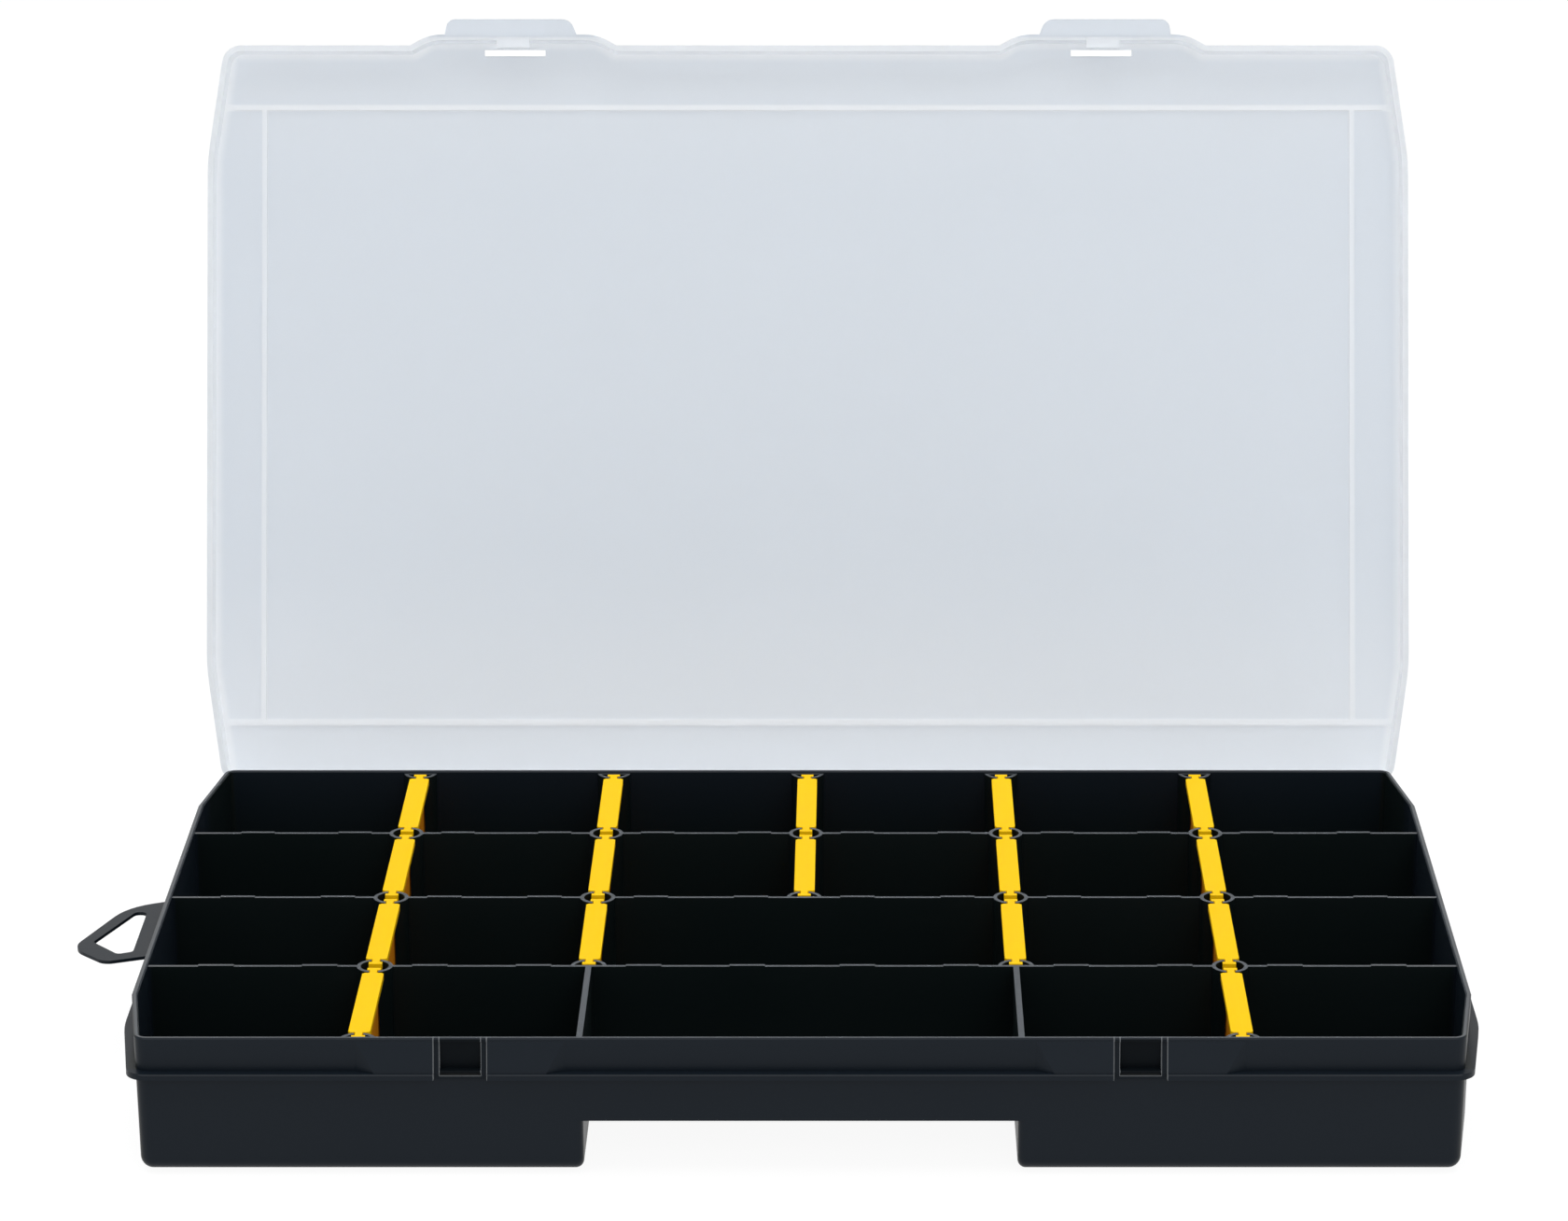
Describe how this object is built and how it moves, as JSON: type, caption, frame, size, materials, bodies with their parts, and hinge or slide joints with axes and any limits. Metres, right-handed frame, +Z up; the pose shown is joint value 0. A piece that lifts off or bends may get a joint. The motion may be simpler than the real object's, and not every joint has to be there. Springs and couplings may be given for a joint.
{
  "type": "compartment storage box",
  "caption": "Flat open tray with long walls, removable lift-out dividers, a hinged see-through lid with snap latches and a side hang loop, for sorting small hardware.",
  "frame": {"origin": "middle of the foot's flat underside, midway between the tray's sides and ends", "axes": "+X to the right as one faces the latches, +Y towards the hinge, +Z up"},
  "size_m": [0.3596, 0.288, 0.236],
  "materials": {
    "tray_plastic": "satin black moulding",
    "lid_plastic": "frosted translucent moulding",
    "divider_plastic": "satin yellow moulding"
  },
  "bodies": {
    "tray": {"tray": "tray_plastic"},
    "lid": {"lid": "lid_plastic"},
    "divider_back_far_left": {"divider_back_far_left": "divider_plastic"},
    "divider_back_left": {"divider_back_left": "divider_plastic"},
    "divider_back_centre": {"divider_back_centre": "divider_plastic"},
    "divider_back_right": {"divider_back_right": "divider_plastic"},
    "divider_back_far_right": {"divider_back_far_right": "divider_plastic"},
    "divider_mid_back_far_left": {"divider_mid_back_far_left": "divider_plastic"},
    "divider_mid_back_left": {"divider_mid_back_left": "divider_plastic"},
    "divider_mid_back_centre": {"divider_mid_back_centre": "divider_plastic"},
    "divider_mid_back_right": {"divider_mid_back_right": "divider_plastic"},
    "divider_mid_back_far_right": {"divider_mid_back_far_right": "divider_plastic"},
    "divider_mid_front_far_left": {"divider_mid_front_far_left": "divider_plastic"},
    "divider_mid_front_left": {"divider_mid_front_left": "divider_plastic"},
    "divider_mid_front_right": {"divider_mid_front_right": "divider_plastic"},
    "divider_mid_front_far_right": {"divider_mid_front_far_right": "divider_plastic"},
    "divider_front_far_left": {"divider_front_far_left": "divider_plastic"},
    "divider_front_far_right": {"divider_front_far_right": "divider_plastic"}
  },
  "joints": [
    {"name": "lid_hinge", "type": "hinge", "parent": "tray", "child": "lid", "pos_m": [0, 0.10745, 0.0276], "axis": [-1, 0, 0], "range_deg": [-107.93, 0]},
    {"name": "divider_back_far_left_lift", "type": "slide", "parent": "tray", "child": "divider_back_far_left", "axis": [0, 0, 1], "range_m": [0, 0.036]},
    {"name": "divider_back_left_lift", "type": "slide", "parent": "tray", "child": "divider_back_left", "axis": [0, 0, 1], "range_m": [0, 0.036]},
    {"name": "divider_back_centre_lift", "type": "slide", "parent": "tray", "child": "divider_back_centre", "axis": [0, 0, 1], "range_m": [0, 0.036]},
    {"name": "divider_back_right_lift", "type": "slide", "parent": "tray", "child": "divider_back_right", "axis": [0, 0, 1], "range_m": [0, 0.036]},
    {"name": "divider_back_far_right_lift", "type": "slide", "parent": "tray", "child": "divider_back_far_right", "axis": [0, 0, 1], "range_m": [0, 0.036]},
    {"name": "divider_mid_back_far_left_lift", "type": "slide", "parent": "tray", "child": "divider_mid_back_far_left", "axis": [0, 0, 1], "range_m": [0, 0.036]},
    {"name": "divider_mid_back_left_lift", "type": "slide", "parent": "tray", "child": "divider_mid_back_left", "axis": [0, 0, 1], "range_m": [0, 0.036]},
    {"name": "divider_mid_back_centre_lift", "type": "slide", "parent": "tray", "child": "divider_mid_back_centre", "axis": [0, 0, 1], "range_m": [0, 0.036]},
    {"name": "divider_mid_back_right_lift", "type": "slide", "parent": "tray", "child": "divider_mid_back_right", "axis": [0, 0, 1], "range_m": [0, 0.036]},
    {"name": "divider_mid_back_far_right_lift", "type": "slide", "parent": "tray", "child": "divider_mid_back_far_right", "axis": [0, 0, 1], "range_m": [0, 0.036]},
    {"name": "divider_mid_front_far_left_lift", "type": "slide", "parent": "tray", "child": "divider_mid_front_far_left", "axis": [0, 0, 1], "range_m": [0, 0.036]},
    {"name": "divider_mid_front_left_lift", "type": "slide", "parent": "tray", "child": "divider_mid_front_left", "axis": [0, 0, 1], "range_m": [0, 0.036]},
    {"name": "divider_mid_front_right_lift", "type": "slide", "parent": "tray", "child": "divider_mid_front_right", "axis": [0, 0, 1], "range_m": [0, 0.036]},
    {"name": "divider_mid_front_far_right_lift", "type": "slide", "parent": "tray", "child": "divider_mid_front_far_right", "axis": [0, 0, 1], "range_m": [0, 0.036]},
    {"name": "divider_front_far_left_lift", "type": "slide", "parent": "tray", "child": "divider_front_far_left", "axis": [0, 0, 1], "range_m": [0, 0.036]},
    {"name": "divider_front_far_right_lift", "type": "slide", "parent": "tray", "child": "divider_front_far_right", "axis": [0, 0, 1], "range_m": [0, 0.036]}
  ]
}
